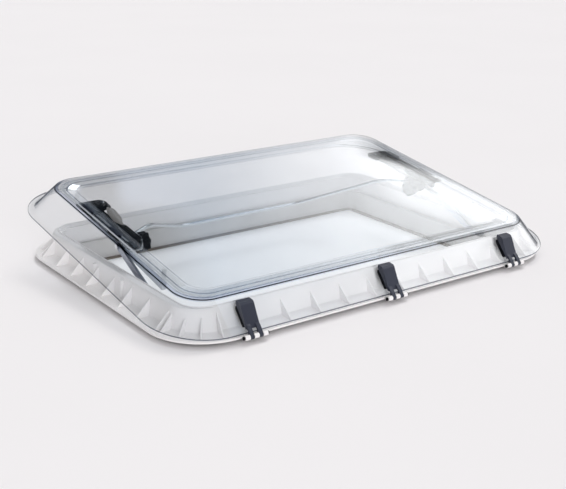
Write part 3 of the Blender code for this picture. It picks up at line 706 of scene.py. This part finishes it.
def stage_mesh(name, points, faces, mat):
    """A surface that isn't part of the object."""
    mesh = bpy.data.meshes.new(name)
    mesh.from_pydata([world(*p) for p in points], [], faces)
    mesh.materials.append(mat)
    obj = bpy.data.objects.new(name, mesh)
    bpy.context.scene.collection.objects.link(obj)
    obj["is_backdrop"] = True


ROOF_Z = -9.0
LOWER_Z = -46.0
FLOOR_SPREAD = 60
hole = even(58, ROOF_Z)
near = even(-60, ROOF_Z)
far = [(x * FLOOR_SPREAD, y * FLOOR_SPREAD, z) for x, y, z in near]
points, faces, _ = loft_data([hole, near, far], ring=False)
roof_paint = matt_paint("floor_paint", (0.880, 0.858, 0.870), (0.889, 0.867, 0.879))
stage_mesh("roof_floor", points, faces[:-2], roof_paint)
corners = [(x, y, LOWER_Z) for x, y in ((-700, -500), (700, -500), (700, 500), (-700, 500))]
lower_paint = matt_paint("lit_floor_paint", (0.88, 0.87, 0.88), (0.89, 0.88, 0.89), glow=0.17)
stage_mesh("lower_floor", corners, [(0, 1, 2, 3)], lower_paint)

# Light: an even surround, a broad soft key from behind on the right, and a fill from the hinge side.
# Glossy surfaces mirror a studio instead, dark on the left and bright on the right.
sky = bpy.data.worlds.new("studio")
bpy.context.scene.world = sky
sky.use_nodes = True
tree = sky.node_tree
tree.nodes.clear()
way = node(tree, "ShaderNodeTexCoord").outputs["Generated"]
split = node(tree, "ShaderNodeSeparateXYZ", Vector=way)


def spread(axis, low, high, first, last):
    """A factor that runs from first to last between two values of the direction's axis."""
    value = split.outputs[axis]
    return node(
        tree, "ShaderNodeMapRange", Value=value, From_Min=low, From_Max=high, To_Min=first, To_Max=last
    ).outputs["Result"]


def combined(operation, first, *others):
    """Factors put together one after another: MULTIPLY, ADD or MAXIMUM."""
    for other in others:
        made = tree.nodes.new("ShaderNodeMath")
        made.operation = operation
        tree.links.new(first, made.inputs[0])
        tree.links.new(other, made.inputs[1])
        first = made.outputs["Value"]
    return first


# The studio's colours across, by the X of the direction
STUDIO = [
    (-0.50, (0.065, 0.075, 0.10)),
    (0.10, (0.035, 0.04, 0.05)),
    (0.38, (0.004, 0.005, 0.007)),
    (0.430, (0.006, 0.008, 0.012)),
    (0.442, (0.15, 0.17, 0.21)),
    (0.500, (0.15, 0.18, 0.22)),
    (0.540, (0.24, 0.255, 0.28)),
    (0.590, (0.42, 0.42, 0.43)),
    (0.650, (0.66, 0.66, 0.665)),
    (0.720, (0.80, 0.80, 0.80)),
]
LEFT_END, RIGHT_END = STUDIO[0][0], STUDIO[-1][0]
across = spread("X", LEFT_END, RIGHT_END, 0.0, 1.0)
tone = ramp(tree, across, [((x - LEFT_END) / (RIGHT_END - LEFT_END), color) for x, color in STUDIO])
elsewhere = spread("Y", 0.0, 0.3, 1.0, 0.0)
# Two soft-edged dark panels stand in front of the surround, and a light box low on the right
below_panel = spread("Z", 0.4455, 0.4505, 0.06, 1.0)
beside_panel = spread("X", 0.625, 0.645, 1.0, 0.0)
low_right = combined("MAXIMUM", below_panel, beside_panel, elsewhere)
above_panel = spread("Z", 0.520, 0.535, 1.0, 0.04)
past_panel = spread("X", 0.455, 0.500, 0.0, 1.0)
high_left = combined("MAXIMUM", above_panel, past_panel, elsewhere)
hinge_side = combined("MULTIPLY", spread("Y", -0.3, 0.0, 1.0, 0.0), spread("Z", 0.46, 0.55, 0.9, 4.2))
brighter = combined("ADD", hinge_side, spread("Y", -0.3, 0.0, 0.0, 2.4))
box = combined("MULTIPLY", spread("Z", 0.470, 0.486, 0.7, 0.0), spread("X", 0.635, 0.655, 0.0, 1.0))
surround = combined("MULTIPLY", low_right, high_left, brighter)
level = combined("ADD", surround, combined("MULTIPLY", box, low_right))
studio = node(tree, "ShaderNodeBackground", Color=tone.outputs["Color"], Strength=level)
plain = node(tree, "ShaderNodeBackground", Color=(0.56, 0.56, 0.56, 1), Strength=1.0)
path = node(tree, "ShaderNodeLightPath")
mix = node(tree, "ShaderNodeMixShader", Fac=path.outputs["Is Glossy Ray"])
tree.links.new(plain.outputs["Background"], mix.inputs[1])
tree.links.new(studio.outputs["Background"], mix.inputs[2])
end = tree.nodes.new("ShaderNodeOutputWorld")
tree.links.new(mix.outputs["Shader"], end.inputs["Surface"])


def lamp(name, energy, degrees, towards):
    """A soft sun that the glossy surfaces don't mirror."""
    light = bpy.data.lights.new(name, "SUN")
    light.energy = energy
    light.angle = math.radians(degrees)
    obj = bpy.data.objects.new(name, light)
    obj.rotation_euler = Vector(towards).to_track_quat("Z", "Y").to_euler()
    obj.visible_glossy = False
    bpy.context.scene.collection.objects.link(obj)


lamp("key", 1.36, 24, (0.48, 0.42, 0.77))
lamp("fill", 1.15, 30, (-0.22, -0.93, 0.28))

# Camera: degrees, and the distance in millimetres
AZIMUTH, ELEVATION, ROLL, DISTANCE = -36.08, 18.61, 0.56, 2596.5
AIM = world(8.6, 34.9, 0)
a, e, r = (math.radians(v) for v in (AZIMUTH, ELEVATION, ROLL))
back = Vector((math.sin(a) * math.cos(e), -math.cos(a) * math.cos(e), math.sin(e)))
flat = Vector((math.cos(a), math.sin(a), 0))
above = back.cross(flat)
right = flat * math.cos(r) + above * math.sin(r)
up = back.cross(right)
lens = bpy.data.cameras.new("camera")
lens.sensor_width = 36.0
lens.lens = 67.13
lens.clip_start = 0.05
lens.clip_end = 200
camera = bpy.data.objects.new("camera", lens)
turn = Matrix((right, up, back)).transposed().to_4x4()
camera.matrix_world = Matrix.Translation(AIM + back * DISTANCE / MM) @ turn
bpy.context.scene.collection.objects.link(camera)
bpy.context.scene.camera = camera
bpy.context.scene.view_settings.view_transform = "Standard"

low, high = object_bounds()
